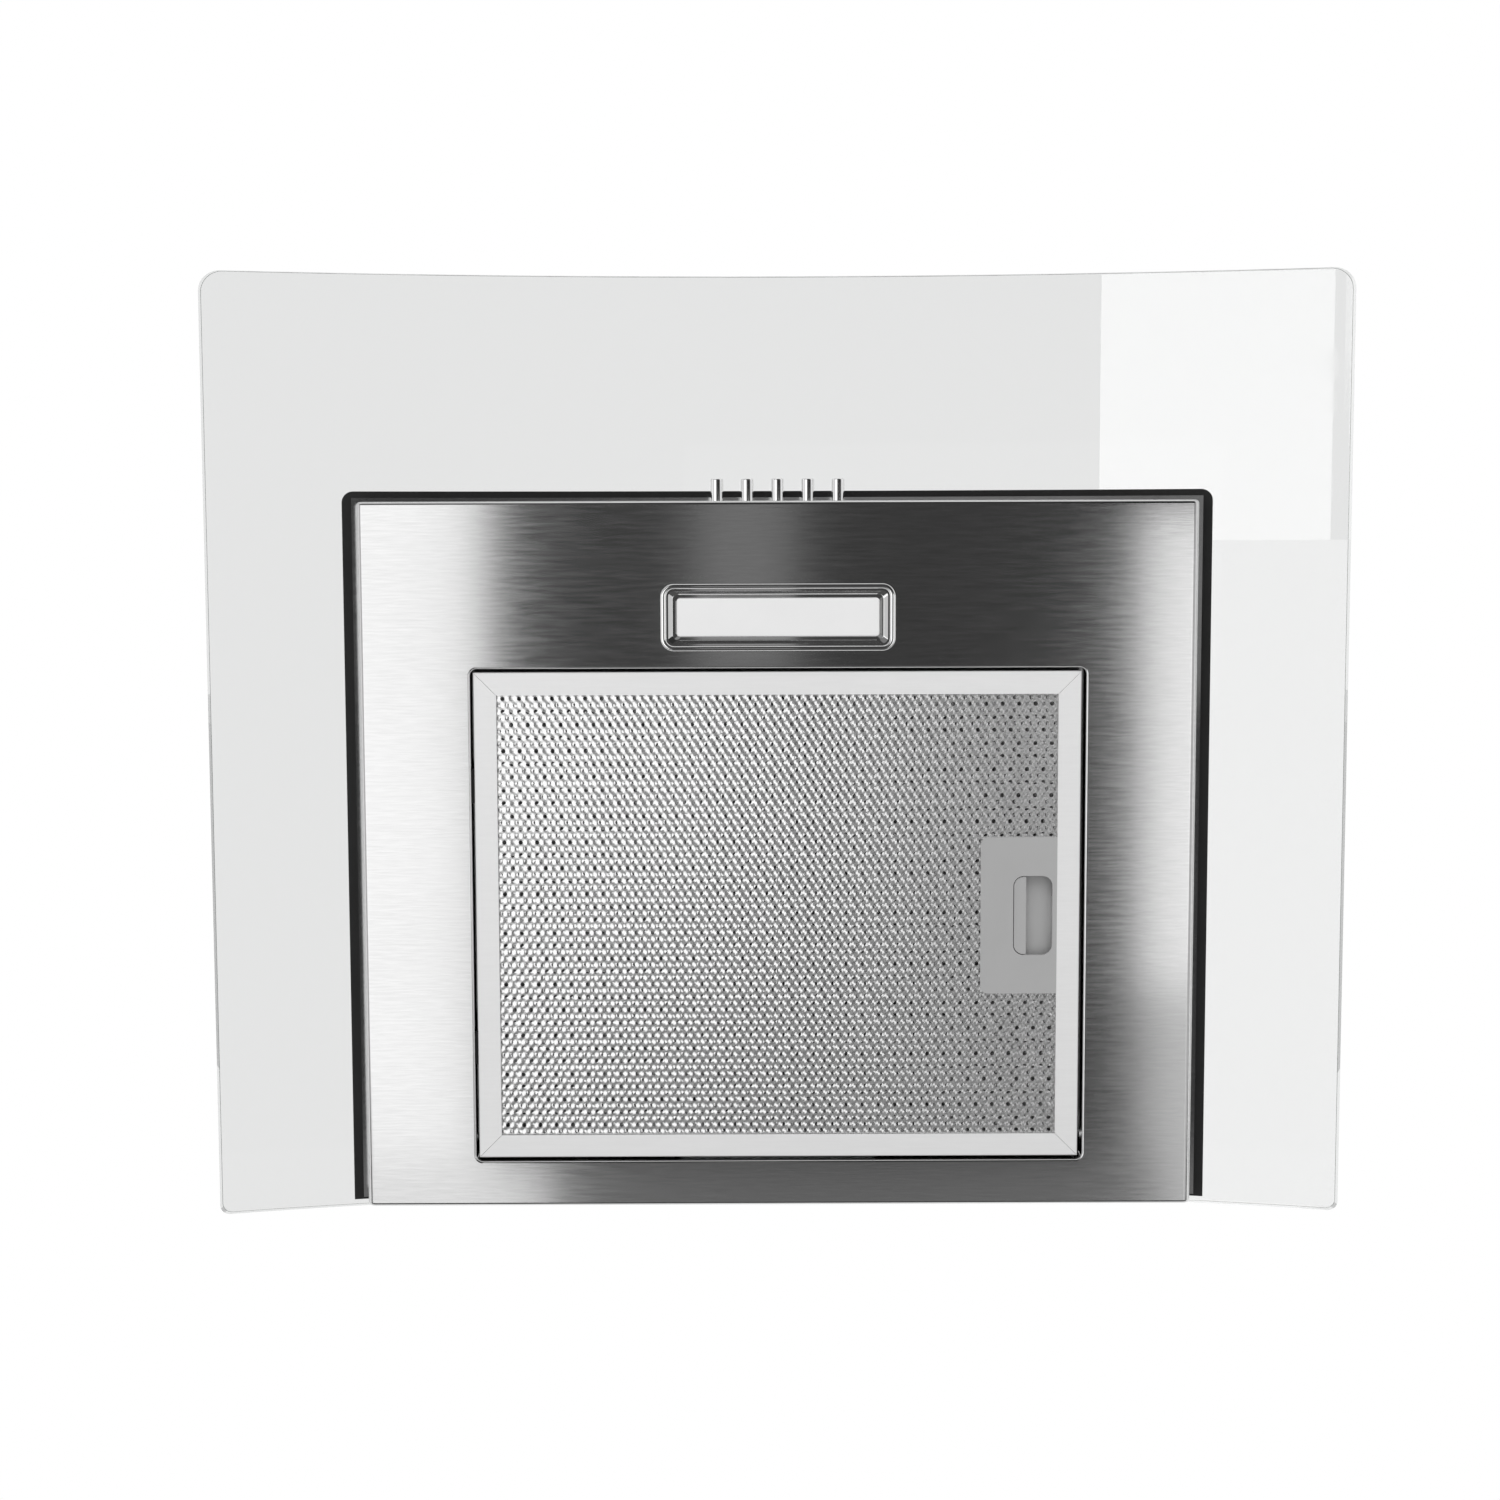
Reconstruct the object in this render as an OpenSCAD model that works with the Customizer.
// Wall mount range hood with an arched glass canopy, a telescopic chimney and a push-button front.
// Millimetres. +Z is up, -Y is the front, and the kitchen wall is the plane y = 0.
// The origin is midway between the two hanging holes, on the wall.
// Heights in the modules are counted from the bottom panel's lower face, and from_panel() sets them down.

/* [Glass canopy] */
// Width of the glass from tip to tip
glass_w = 600; // [560:10:700]
// Depth of the glass from the wall to its front edge
glass_d = 500; // [450:5:520]
// Thickness of the glass
glass_t = 6; // [4:0.5:8]
// Radius of the arch on the underside of the glass
glass_r = 1200; // [1000:20:1500]
// Corner radius at the front of the glass
glass_front_r = 11; // [5:1:30]
// Corner radius at the wall end of the glass
glass_rear_r = 5; // [3:1:12]
// Height of the arch's crown above the bottom panel
crown_h = 42; // [40:1:50]

/* [Body] */
// Width of the body over its side walls
body_w = 440.4; // [420:0.4:460]
// Depth of the bottom panel behind the filter cassette
rear_strip = 26.3; // [25:0.1:29]
// Depth of the bottom panel in front of the filter cassette
front_strip = 89.3; // [88:0.1:94]
// Gap from the body's rear wall to the kitchen wall
body_back = 5.3; // [4.5:0.1:8]
// Thickness of the stainless sheet
sheet = 0.8; // [0.6:0.1:1.2]
// Radius of the rolled edge along the sides of the bottom panel
side_bend = 4; // [2:0.5:6]
// Radius of the rolled edge along the front and rear of the bottom panel
front_bend = 2; // [1.5:0.5:4]
// Reach of the deck past the side walls
flange_side = 5; // [3:0.5:6]
// Reach of the deck past the front wall
flange_front = 2.4; // [1.6:0.2:4]

/* [Black edge gasket] */
// Thickness of every gasket on the glass
gasket_t = 1.5; // [1:0.1:2.5]
// Reach of the edge gasket past the deck at the sides
gasket_side = 5; // [3:0.5:7]
// Reach of the edge gasket past the deck at the front
gasket_front = 3.4; // [2:0.2:5]
// Outer corner radius of the edge gasket
gasket_r = 6; // [3:1:10]
// Lap of the edge gasket inside the line of the walls
gasket_lap = 8; // [5:1:14]

/* [Filter cassette] */
// Width of the cassette, side to side
filter_w = 319.5; // [310:0.5:326]
// Depth of the cassette, front to rear
filter_d = 259.4; // [250:0.2:262]
// Thickness of the cassette
filter_t = 9; // [8:0.5:11]
// Shift of the cassette towards its tongues
filter_shift = 0.4; // [0:0.1:0.6]
// Gap round the cassette in its opening
filter_gap = 1.9; // [1.7:0.1:2.4]
// Recess of the cassette above the bottom panel's lower face
filter_recess = 1; // [0.9:0.1:1.4]
// Width of the rails' face
rail_w = 12; // [10:0.5:14]
// Thickness of the rails' aluminium
rail_t = 1; // [0.8:0.1:1.2]
// Corner radius of the opening for the cassette
opening_r = 3.5; // [2:0.5:5]
// Height of the opening's turned-up lip
lip_h = 10; // [9:0.5:12]
// Number of mesh openings across
net_cols = 17; // [9:1:17]
// Number of mesh openings front to rear
net_rows = 17; // [9:1:17]
// Width of a strand of the nets
strand_w = 3; // [2:0.2:4]
// Thickness of each net
net_t = 0.8; // [0.6:0.1:0.9]
// Number of pleats in the middle layer
pleat_n = 38; // [20:1:44]
// Width of each tongue
tongue_w = 18; // [14:1:24]
// Reach of the tongues past the rail
tongue_reach = 5; // [4:0.5:6]
// Distance between the two tongues
tongue_span = 140; // [100:5:180]

/* [Filter latch] */
// Size of the grey latch plate from the mesh side to the rail
plate_w = 40.4; // [38:0.2:44]
// Length of the latch plate along the rail
plate_l = 83.6; // [76:0.2:92]
// Corner radius of the latch plate
plate_r = 4; // [2:0.5:6]
// Width of the finger window
window_w = 20.7; // [19:0.1:22]
// Length of the finger window
window_l = 42.3; // [38:0.1:46]
// Corner radius of the finger window
window_r = 5.5; // [3:0.5:7]
// Distance from the plate's inner edge to the finger window
window_in = 17.3; // [16.4:0.1:18]
// Width of the slider's finger bar
bar_w = 6.4; // [5:0.2:8]
// Width of the latch bolt
bolt_w = 20; // [14:1:24]
// Travel of the latch bolt
latch_travel = 5; // [4:0.2:5.4]

/* [Lamp] */
// Width of the chrome lamp bezel
lamp_w = 123; // [116:1:130]
// Depth of the chrome lamp bezel
lamp_d = 35.6; // [34:0.2:37]
// Outer corner radius of the lamp bezel
lamp_r = 7; // [6:0.5:9]
// Distance from the body's front wall to the middle of the lamp
lamp_in = 60.7; // [59:0.1:62]
// Width of the frosted lens
lens_w = 106; // [100:1:107]
// Depth of the frosted lens
lens_d = 20; // [17:0.5:20.5]
// Width of the bezel's outer bead
bead_w = 2.4; // [2:0.2:2.6]
// Depth of the bezel's bead below the bottom panel
bead_h = 1.6; // [1:0.2:2]
// Height of the lamp housing above the bottom panel
lamp_h = 20; // [16:1:24]

/* [Push buttons] */
// Distance from one button to the next
button_pitch = 16; // [13:0.5:18]
// Radius of the buttons
button_r = 3.5; // [2.5:0.1:4]
// Height of the buttons above the bottom panel
button_z = 20; // [17:1:24]
// Reach of the buttons past the front wall
button_reach = 11.9; // [9:0.1:14]
// Travel of the buttons
button_travel = 4; // [2:0.5:5]

/* [Motor box] */
// Width of the motor box
box_w = 200; // [196:1:208]
// Depth of the motor box
box_d = 200; // [196:1:204]
// Height of the motor box's top above the bottom panel
box_top = 262; // [258:1:266]
// Thickness of the motor box's sheet
box_sheet = 1; // [0.8:0.1:1.2]
// Width of the air opening through deck and glass
airway_w = 170; // [150:2:174]
// Depth of the air opening through deck and glass
airway_d = 160; // [140:2:164]
// Distance from the kitchen wall to the middle of the air opening
airway_y = 110; // [106:1:112]
// Corner radius of the air opening
airway_r = 12; // [6:1:20]

/* [Fan] */
// Outer radius of the fan wheel
wheel_r = 66; // [58:1:68]
// Width of the fan wheel
wheel_w = 96; // [80:2:104]
// Number of blades on the fan wheel
blade_n = 36; // [20:1:42]
// Radial depth of the blades
blade_d = 12; // [9:1:14]
// Growth of the scroll in each quarter turn
scroll_growth = 8; // [5:0.5:9]
// Wall of the scroll
scroll_wall = 1.5; // [1:0.1:2.5]
// Depth of the scroll's outlet neck
neck_d = 84; // [70:1:88]
// Radius of the motor
motor_r = 38; // [30:1:40]
// Length of the motor
motor_l = 60; // [50:1:66]
// Radius of the motor shaft
shaft_r = 4; // [3:0.5:5]

/* [Duct collar] */
// Outer radius of the collar that the duct slips over
duct_r = 74.5; // [60:0.5:75]
// Wall of the collar
duct_wall = 2.5; // [2:0.1:3]
// Height of the round collar
duct_h = 44; // [36:1:56]
// Thickness of the non-return flaps
flap_t = 1.2; // [0.8:0.1:1.6]

/* [Chimney] */
// Width of the lower chimney cover
chimney_w = 240; // [238:1:260]
// Depth of the lower chimney cover, from the wall plane
chimney_d = 237; // [234:1:260]
// Length of the upper chimney cover
upper_l = 500; // [440:5:560]
// Height of the upper chimney cover's foot above the bottom panel, pushed down
upper_low = 100; // [90:1:120]
// Length of the upper chimney cover that stays in sight, pushed down
upper_show = 32; // [28:1:48]
// Play between the two chimney covers
chimney_gap = 0.6; // [0.4:0.1:1]
// Number of vent slots in each row
vent_n = 9; // [4:1:12]
// Number of rows of vent slots
vent_rows = 5; // [2:1:6]

/* [Wall fixing] */
// Height of the hanging holes above the bottom panel
hang_h = 282; // [280:1:290]
// Distance between the hanging holes
hang_span = 160; // [120:5:168]
// Radius of the hanging holes
hang_hole_r = 4.25; // [3:0.25:5]
// Thickness of the hanging plate
hang_t = 3; // [2:0.5:4]
// Distance between the lower locking holes
lock_span = 360; // [280:5:380]
// Radius of the lower locking holes
lock_hole_r = 2.75; // [2:0.25:3.5]

/* [Hidden] */

$fn = 48;
arch_fn = 720;
far = 60;
eps = 0.01;
fit_gap = 0.3;
running_gap = 0.08;
skin_gap = 0.05;
small_head_r = 3.4;
small_head_t = 1.6;
screw_end_gap = 0.2;

// The arch: one centre line for the glass and all that follows it
arch_z = crown_h - glass_r;
gasket_low_r = glass_r - gasket_t;
deck_low_r = gasket_low_r - sheet;
glass_top_r = glass_r + glass_t;
flange_low_r = glass_top_r + gasket_t;
flange_top_r = flange_low_r + box_sheet;

// The body and what lies over it
body_d = rear_strip + filter_d + front_strip;
pan_front = body_back + body_d;
deck_half_w = body_w / 2 + flange_side;
deck_front = pan_front + flange_front;
gasket_rear = 4;
ring_lap = 12;
ring_side = 7;
lock_z = 12;
stud_r = 2;
nut_t = 3.2;

// The cassette, counted from the wall and the middle of the body
filter_y = body_back + rear_strip + filter_d / 2;
opening_w = filter_w + 2 * filter_gap;
opening_d = filter_d + 2 * filter_gap;
filter_top = filter_recess + filter_t;
net_edge = rail_t + fit_gap;
net_low = filter_recess + rail_t + 0.1;
back_net_low = filter_top - rail_t - 0.1 - net_t;
pleat_low = net_low + net_t + 0.2;
pleat_top = back_net_low - 0.2;
pleat_t = 0.5;
latch_room = 1;
mitre_cut = 0.25;
tongue_t = 1.2;
tongue_low = sheet + 0.4;
notch_play = 2;
notch_top = 7.5;

// The latch, counted from the middle of the cassette
rail_inner = filter_w / 2 - rail_w;
plate_t = 2;
plate_left = rail_inner - plate_w;
tray_wall = 1.5;
tray_left = plate_left + plate_r;
tray_right = rail_inner - 2;
tray_half_l = plate_l / 2 - plate_r;
tray_top = filter_top - rail_t;
tray_floor_t = 1;
pocket_half_l = window_l / 2 + 6;
window_left = plate_left + window_in;
bar_play = 0.4;
slider_left = window_left + bar_play;
slider_floor_t = 1.2;
slider_floor_low = filter_top - 3;
bolt_low = filter_recess + 3.8;
spring_r = 2.6;
spring_wire = 0.35;
spring_turns = 9;

// The lamp
lamp_y = pan_front - lamp_in;
lamp_cut_w = lamp_w - 2 * bead_w - 0.8;
lamp_cut_d = lamp_d - 2 * bead_w - 0.8;
lamp_wall = 1.4;
lens_t = 2.2;
lens_low = 0.6;
funnel_top = 1.6;
housing_lap = 2;
housing_r = 4;
post_h = 3;
post_x = lens_w / 2 - 14;
lead_hole_r = 2.5;
board_t = 1.6;
board_top = lamp_h - lamp_wall - post_h;
chip_n = 9;
chip_pitch = 11;
chip_w = 2.8;
chip_t = 0.8;

// The push buttons and their switch
button_n = 5;
button_cap_l = 10.5;
guide_t = 3;
guide_half_h = 8;
guide_end = 28;
guide_w = (button_n - 1) * button_pitch + 2 * guide_end;
guide_front = pan_front - sheet;
stud_x = guide_w / 2 - 5;
switch_half_h = 9;
switch_end = 12;
switch_w = (button_n - 1) * button_pitch + 2 * switch_end;
switch_front = guide_front - guide_t;
button_tip = pan_front + button_reach;
button_rear = guide_front - button_cap_l;
cap_room_rear = button_rear - button_travel - 2;
plunger_w = 4;
plunger_l = 12;
plunger_room_rear = button_rear - plunger_l - button_travel - 2;
switch_rear = plunger_room_rear - 6;

// The motor box and its clamp screws
box_rear = hang_t;
box_front = box_rear + box_d;
box_mid_y = box_rear + box_d / 2;
chimney_inner_w = chimney_w - 2 * sheet;
flange_w = chimney_inner_w;
flange_front_y = box_front + 14;
clamp_x = (box_w / 2 + chimney_inner_w / 2) / 2 - 1.2;
clamp_y = [airway_y - airway_d / 2 + 10, airway_y + airway_d / 2 - 10];
clamp_r = 2.5;
clamp_head_r = 4.5;
clamp_head_t = 3;
clamp_l = 18;
clamp_nut_t = 4;
tab_h = 34;
tab_y = 60;
tab_w = 30;
tab_screw_z = 66;
hanger_half_w = hang_span / 2 + 14;
hanger_lap = 60;
hanger_low = box_top - hanger_lap;
hanger_top = hang_h + 14;
hanger_r = 4;
hanger_screw_r = 2;
hanger_screw_x = hanger_half_w - 12;
hanger_screw_z = [hanger_low + 12, box_top - 14];

// The fan, on an axis along X
scroll_r = wheel_r + 10;
scroll_reach = scroll_growth / 2 + scroll_r + 2 * scroll_growth;
scroll_drop = scroll_growth / 2 + scroll_r + scroll_growth;
scroll_half_w = wheel_w / 2 + 4.5 + scroll_wall;
fan_y = box_rear + box_sheet + 2 + scroll_reach;
fan_z = crown_h + glass_t + 12 + scroll_drop;
neck_in = scroll_reach - neck_d;
neck_top = box_top - box_sheet - fan_z;
neck_front = fan_y - neck_in - scroll_wall;
neck_rim = 8;
inlet_r = wheel_r - blade_d + 1;
inlet_rim = 10;
ring_t = 1.2;
ring_bead = 3.6;
guard_t = 2;
guard_rib = 2;
guard_in_r = 12;
guard_ring_n = 5;
guard_step = (inlet_r + guard_rib / 2 - guard_in_r) / (guard_ring_n - 1);
inlet_screw_r = inlet_r + inlet_rim - 3.2;
disc_t = 2;
end_ring_t = 3;
hub_r = 10;
hub_l = 12;
shaft_left = -hub_l - 6;
shaft_right = 36;
motor_left = 6;
bracket_t = 2;
capacitor_r = 14;
capacitor_l = 46;
clip_t = 1.2;
clip_w = 12;
clip_mouth = 12;
clip_stem = 10;
capacitor_x = -(box_w / 2 + scroll_half_w) / 2;
capacitor_drop = 28;
capacitor_z = box_top - capacitor_drop;

// The terminal box in front of the motor box
terminal_w = 90;
terminal_h = 60;
terminal_d = 22;
terminal_z = 130;
terminal_wall = 2;
gland_x = 30;
gland_bore_r = 4.2;
gland_neck_r = 6;
gland_neck_l = 8;
gland_nut_h = 4;
gland_body_h = 8;
gland_tip_h = 5;

// The collar and its flaps
collar_lap = 9;
collar_base = 2 * (duct_r + collar_lap);
duct_y = hang_t + 1.5 + collar_base / 2;
collar_base_h = 12;
collar_base_t = 2.5;
collar_low = box_top + collar_base_h;
collar_top = collar_low + duct_h;
collar_in_r = duct_r - duct_wall;
flap_rise = 16;
flap_z = collar_low + flap_rise;
flap_r = collar_in_r - 1.5;
rod_r = 1.5;
knuckle_r = 3;
knuckle_l = 0.28 * flap_r;
knuckle_x = [-0.82 * flap_r, 0.26 * flap_r];
knuckle_gap = 0.6;
collar_screw_in = 8;
collar_screw_r = 1.8;
flap_seat_w = 5;

// The chimney
upper_w = chimney_inner_w - 2 * chimney_gap;
upper_front = chimney_d - sheet - chimney_gap;
lower_rear = 1;
upper_rear = lower_rear + sheet + chimney_gap;
return_w = 12;
upper_top = upper_low + upper_l;
lower_top = upper_top - upper_show;
bracket_h = 24;
bracket_sheet = 1.5;
bracket_leg_y = 4.5;
bracket_tab_y = 30;
bracket_ear = 16;
bracket_half_w = upper_w / 2 - sheet - bracket_ear;
bracket_hole_x = 60;
bracket_hole_r = 3.25;
top_screw_y = 20;
top_screw_z = upper_top - bracket_h / 2;
vent_w = 4;
vent_l = 12;
vent_pitch = vent_l + 6;
vent_row_pitch = 12;
vent_drop = 40;
cover_screw_r = 1.5;

function arch_at(r, x) = arch_z + sqrt(r * r - x * x);
function button_x(i) = (i - (button_n + 1) / 2) * button_pitch;

// Sets a sub-part down from panel heights to the hanging holes.
module from_panel() {
    translate([0, 0, -hang_h]) children();
}

// Rectangle with round corners, about the origin.
module rounded(w, d, r) {
    square([w - 2 * r, d], center = true);
    square([w, d - 2 * r], center = true);
    for (sx = [-1, 1], sy = [-1, 1])
        translate([sx * (w / 2 - r), sy * (d / 2 - r)])
            circle(r);
}

// Straight prism over a plan outline, tall enough to cross the whole arch.
module plan_prism() {
    translate([0, 0, -far])
        linear_extrude(crown_h + 3 * far)
            children();
}

// Everything under the arch of radius r.
module under_arch(r) {
    translate([0, 1, 0])
        rotate([90, 0, 0])
            linear_extrude(glass_d + 2)
                intersection() {
                    translate([0, arch_z]) circle(r, $fn = arch_fn);
                    translate([-glass_w, -far]) square([2 * glass_w, crown_h + 3 * far]);
                }
}

// Sheet between two radii of the arch, kept to the plan outline given.
module arch_sheet(low_r, high_r) {
    intersection() {
        translate([0, 1, 0])
            rotate([90, 0, 0])
                linear_extrude(glass_d + 2)
                    intersection() {
                        translate([0, arch_z])
                            difference() {
                                circle(high_r, $fn = arch_fn);
                                circle(low_r, $fn = arch_fn);
                            }
                        translate([-glass_w, -far]) square([2 * glass_w, crown_h + 3 * far]);
                    }
        plan_prism() children();
    }
}

// Outline in the YZ plane, extruded along X from x0.
module across(x0, l) {
    translate([x0, 0, 0])
        rotate([90, 0, 90])
            linear_extrude(l)
                children();
}

// Round bar along Y, from y0 towards the wall.
module rod_y(x, y0, z, r, l) {
    translate([x, y0, z])
        rotate([-90, 0, 0])
            cylinder(r = r, h = l);
}

// Round bar along X, from x0 to the right.
module rod_x(x0, y, z, r, l) {
    translate([x0, y, z])
        rotate([0, 90, 0])
            cylinder(r = r, h = l);
}

// Plan of the air opening, grown by an edge.
module airway_plan(edge) {
    translate([0, -airway_y])
        rounded(airway_w + 2 * edge, airway_d + 2 * edge, airway_r);
}

// The places of the clamp screws, in plan.
module at_clamps() {
    for (side = [-1, 1], y = clamp_y)
        translate([side * clamp_x, -y])
            children();
}

// Profile with a flat top and two rolled lower corners.
module rolled_profile(w, bend, lift) {
    translate([-w / 2, lift + bend]) square([w, crown_h]);
    translate([-w / 2 + bend, lift]) square([w - 2 * bend, crown_h]);
    for (side = [-1, 1])
        translate([side * (w / 2 - bend), lift + bend])
            circle(bend);
}

// Block of the pan with rolled edges all round, shrunk by an inset.
module pan_block(inset) {
    intersection() {
        translate([0, -body_back, 0])
            rotate([90, 0, 0])
                linear_extrude(body_d)
                    rolled_profile(body_w - 2 * inset, side_bend - inset, inset);
        translate([0, -body_back - body_d / 2, 0])
            across(-body_w / 2, body_w)
                rolled_profile(body_d - 2 * inset, front_bend - inset, inset);
    }
}

// Turned-up lip round the opening for the cassette.
module opening_lip() {
    difference() {
        translate([0, -filter_y, 0])
            linear_extrude(lip_h)
                difference() {
                    rounded(opening_w + 2 * sheet, opening_d + 2 * sheet, opening_r + sheet);
                    rounded(opening_w, opening_d, opening_r);
                }
        for (side = [-1, 1])
            translate([-opening_w / 2 - 2 * sheet, -filter_y + side * tongue_span / 2, sheet])
                translate([0, -tongue_w / 2 - notch_play, 0])
                    cube([4 * sheet, tongue_w + 2 * notch_play, notch_top - sheet]);
        translate([opening_w / 2 - 2 * sheet, -filter_y - bolt_w / 2 - notch_play, bolt_low - 0.5])
            cube([4 * sheet, bolt_w + 2 * notch_play, lip_h - bolt_low - 0.5]);
    }
}

// Folded stainless pan: bottom panel, four walls and the lip of the filter opening.
module body_pan() {
    from_panel() color("silver") {
        difference() {
            intersection() {
                pan_block(0);
                under_arch(deck_low_r);
            }
            pan_block(sheet);
            translate([0, -filter_y, -1])
                linear_extrude(4)
                    rounded(opening_w + 2 * sheet - eps, opening_d + 2 * sheet - eps, opening_r + sheet);
            translate([0, -lamp_y, -1])
                linear_extrude(4)
                    rounded(lamp_cut_w, lamp_cut_d, 3);
            for (i = [1 : button_n])
                rod_y(button_x(i), -pan_front - 1, button_z, button_r + 0.5, 3);
            for (side = [-1, 1])
                rod_y(side * lock_span / 2, -body_back - 2, lock_z, lock_hole_r, 4);
        }
        opening_lip();
        for (side = [-1, 1])
            rod_y(side * stud_x, -guide_front - eps, button_z, stud_r, guide_t + nut_t + 2);
    }
}

// Arched steel deck that carries the glass and covers the pan.
module glass_deck() {
    from_panel() color("silver")
        arch_sheet(deck_low_r, gasket_low_r)
            difference() {
                translate([-deck_half_w, -deck_front])
                    square([2 * deck_half_w, deck_front - body_back]);
                airway_plan(0);
                at_clamps() circle(clamp_r + 0.1);
            }
}

// Black gasket strip along both sides and the front of the deck.
module edge_gasket() {
    half_w = deck_half_w + gasket_side;
    front = deck_front + gasket_front;
    inner_half_w = body_w / 2 - gasket_lap;
    inner_front = pan_front - gasket_lap;
    from_panel() color("#181818")
        arch_sheet(gasket_low_r + skin_gap, glass_r - skin_gap)
            difference() {
                union() {
                    translate([-half_w, -front + gasket_r])
                        square([2 * half_w, front - gasket_r - gasket_rear]);
                    translate([-half_w + gasket_r, -front])
                        square([2 * (half_w - gasket_r), front - gasket_rear]);
                    for (side = [-1, 1])
                        translate([side * (half_w - gasket_r), -front + gasket_r])
                            circle(gasket_r);
                }
                translate([-inner_half_w, -inner_front])
                    square([2 * inner_half_w, inner_front + 1]);
            }
}

// Foam ring between the deck and the glass round the air opening.
module airway_gasket() {
    from_panel() color("#303030")
        arch_sheet(gasket_low_r + skin_gap, glass_r - skin_gap)
            difference() {
                translate([0, -airway_y])
                    square([2 * (clamp_x + ring_side), airway_d + 2 * ring_lap], center = true);
                airway_plan(3);
                at_clamps() circle(clamp_r + 1);
            }
}

// Plan of the glass with its four round corners.
module glass_plan() {
    fr = glass_front_r;
    rr = glass_rear_r;
    translate([-glass_w / 2, -glass_d + fr])
        square([glass_w, glass_d - fr - rr]);
    translate([-glass_w / 2 + fr, -glass_d])
        square([glass_w - 2 * fr, fr + 1]);
    translate([-glass_w / 2 + rr, -rr - 1])
        square([glass_w - 2 * rr, rr + 1]);
    for (side = [-1, 1]) {
        translate([side * (glass_w / 2 - fr), -glass_d + fr]) circle(fr);
        translate([side * (glass_w / 2 - rr), -rr]) circle(rr);
    }
}

// Arched canopy of clear glass.
module glass_canopy() {
    from_panel() color("#c8d4d0", 0.35)
        arch_sheet(glass_r, glass_top_r)
            difference() {
                glass_plan();
                airway_plan(3);
                at_clamps() circle(clamp_r + 2);
            }
}

// Foam ring between the glass and the motor box's flange.
module box_gasket() {
    from_panel() color("#303030")
        arch_sheet(glass_top_r + skin_gap, flange_low_r - skin_gap)
            difference() {
                translate([-flange_w / 2 + 1, -flange_front_y])
                    square([flange_w - 2, flange_front_y - box_rear]);
                translate([0, -box_mid_y])
                    square([box_w - 2 * box_sheet, box_d - 2 * box_sheet], center = true);
                at_clamps() circle(clamp_r + 1);
            }
}

// Steel box over the glass that holds the fan, with its arched flange and chimney tabs.
module motor_box() {
    seam_r = (flange_low_r + flange_top_r) / 2;
    tab_low = arch_at(seam_r, flange_w / 2);
    from_panel() color("#b9bdc0") {
        difference() {
            translate([-box_w / 2, -box_front, 0])
                cube([box_w, box_d, box_top]);
            translate([-box_w / 2 + box_sheet, -box_front + box_sheet, -1])
                cube([box_w - 2 * box_sheet, box_d - 2 * box_sheet, box_top + 1 - box_sheet]);
            under_arch(seam_r);
            translate([-scroll_half_w + scroll_wall, -neck_front, box_top - 2])
                cube([2 * (scroll_half_w - scroll_wall), neck_d - 2 * scroll_wall, 4]);
            rotate([90, 0, 0])
                linear_extrude(box_rear + box_sheet + 1)
                    at_hanger_screws() circle(hanger_screw_r + 0.1);
        }
        arch_sheet(flange_low_r, flange_top_r)
            difference() {
                translate([-flange_w / 2, -flange_front_y])
                    square([flange_w, flange_front_y - box_rear]);
                translate([0, -box_mid_y])
                    square([box_w - 2 * box_sheet, box_d - 2 * box_sheet], center = true);
                at_clamps() circle(clamp_r + 0.1);
            }
        for (side = [-1, 1])
            difference() {
                translate([side * (flange_w - box_sheet) / 2 - box_sheet / 2, -tab_y - tab_w, tab_low])
                    cube([box_sheet, tab_w, tab_h]);
                rod_x(side * flange_w / 2 - 2, -tab_y - tab_w / 2, tab_screw_z, cover_screw_r + 0.1, 4);
            }
    }
}

// The places of the hanging plate's screws, seen from the front.
module at_hanger_screws() {
    for (side = [-1, 1], z = hanger_screw_z)
        translate([side * hanger_screw_x, z])
            children();
}

// Steel plate on the back of the motor box, with the two hanging holes above it.
module hanging_plate() {
    from_panel() color("#8f9496")
        rotate([90, 0, 0])
            linear_extrude(hang_t)
                difference() {
                    translate([0, (hanger_low + hanger_top) / 2])
                        rounded(2 * hanger_half_w, hanger_top - hanger_low, hanger_r);
                    for (side = [-1, 1])
                        translate([side * hang_span / 2, hang_h])
                            circle(hang_hole_r);
                    at_hanger_screws() circle(hanger_screw_r + 0.1);
                }
}

// Screws that hold the hanging plate on the motor box.
module hanging_screws() {
    from_panel() color("#9a9a9a")
        rotate([90, 0, 0])
            at_hanger_screws() {
                translate([0, 0, box_rear + box_sheet]) cylinder(r = small_head_r, h = small_head_t);
                translate([0, 0, screw_end_gap])
                    cylinder(r = hanger_screw_r, h = box_rear + box_sheet - screw_end_gap + eps);
            }
}

// Screws that clamp the motor box, the glass and the deck together.
module clamp_screws() {
    head_low = arch_at(flange_top_r, clamp_x - clamp_head_r) + 0.05;
    from_panel() color("#a5a5a5")
        at_clamps() {
            translate([0, 0, head_low]) {
                difference() {
                    cylinder(r = clamp_head_r, h = clamp_head_t);
                    translate([0, 0, clamp_head_t - 1.2])
                        cylinder(r = 2, h = 2, $fn = 6);
                }
            }
            translate([0, 0, head_low - clamp_l])
                cylinder(r = clamp_r, h = clamp_l + eps);
        }
}

// Nuts under the deck for the clamp screws.
module clamp_nuts() {
    nut_top = arch_at(deck_low_r, clamp_x + 5) - 0.05;
    from_panel() color("#a5a5a5")
        at_clamps()
            translate([0, 0, nut_top - clamp_nut_t])
                difference() {
                    cylinder(r = 4.9, h = clamp_nut_t, $fn = 6);
                    translate([0, 0, -1]) cylinder(r = clamp_r, h = clamp_nut_t + 2);
                }
}

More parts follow.
